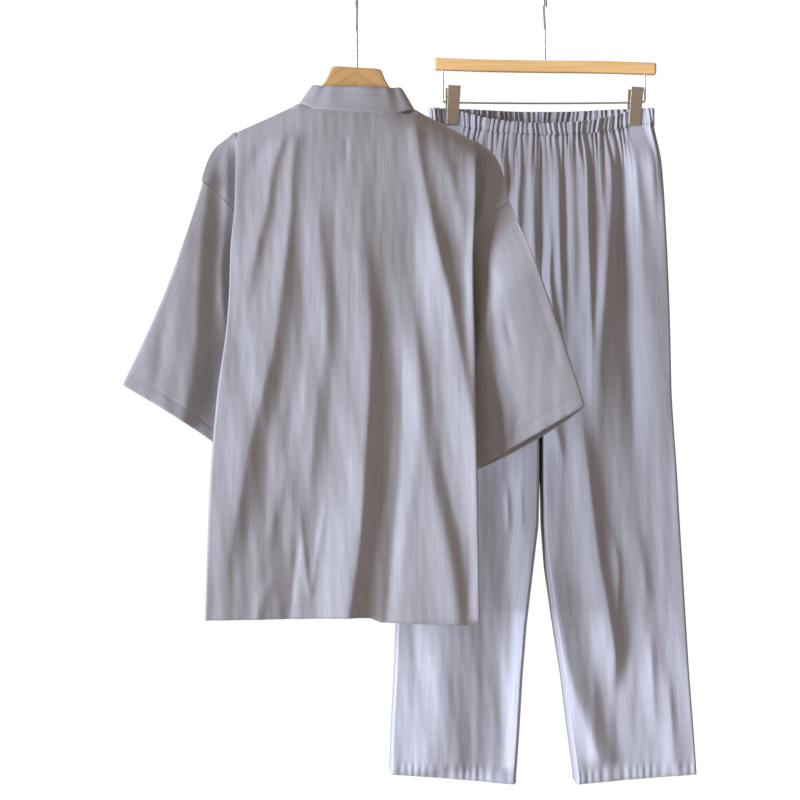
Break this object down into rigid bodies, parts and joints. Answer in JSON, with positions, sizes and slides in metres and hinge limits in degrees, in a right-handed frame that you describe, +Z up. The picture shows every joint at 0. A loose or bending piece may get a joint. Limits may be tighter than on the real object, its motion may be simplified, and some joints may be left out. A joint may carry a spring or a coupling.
{
  "type": "kimono pyjama set on a shoulder hanger and a clip hanger",
  "caption": "Loose wrap-front jacket with wide half sleeves on a wooden hanger, and elastic-waist trousers hung from a clip bar.",
  "frame": {"origin": "inner top of the jacket hanger's hook, where the rail that holds it touches it", "axes": "+Z up; +X to the right as the jacket's back is seen; +Y away from the viewer, the way the jacket's wearer faces"},
  "size_m": [0.8133, 0.2174, 1.1491],
  "materials": {
    "jacket_cloth": "plain-woven greyish lavender cotton and rayon with a soft sheen",
    "trouser_cloth": "the same plain-woven greyish lavender cloth",
    "wood": "clear-lacquered pale wood",
    "steel_wire": "bright nickel-plated steel wire",
    "clip_metal": "satin champagne-coloured sheet metal"
  },
  "bodies": {
    "root": {"jacket_back": "jacket_cloth", "jacket_front_left": "jacket_cloth", "jacket_front_right": "jacket_cloth", "sleeve_left": "jacket_cloth", "sleeve_right": "jacket_cloth", "collar_band": "jacket_cloth", "front_tie_left": "jacket_cloth", "front_tie_right": "jacket_cloth", "waistband": "trouser_cloth", "trousers_front_left": "trouser_cloth", "trousers_front_right": "trouser_cloth", "trousers_back_left": "trouser_cloth", "trousers_back_right": "trouser_cloth", "jacket_hanger_arm_left": "wood", "jacket_hanger_arm_right": "wood", "trousers_hanger_bar": "wood", "jacket_hanger_hook": "steel_wire", "trousers_hanger_hook": "steel_wire", "trousers_hanger_frame": "steel_wire", "clip_left": "clip_metal", "clip_right": "clip_metal"}
  },
  "joints": []
}
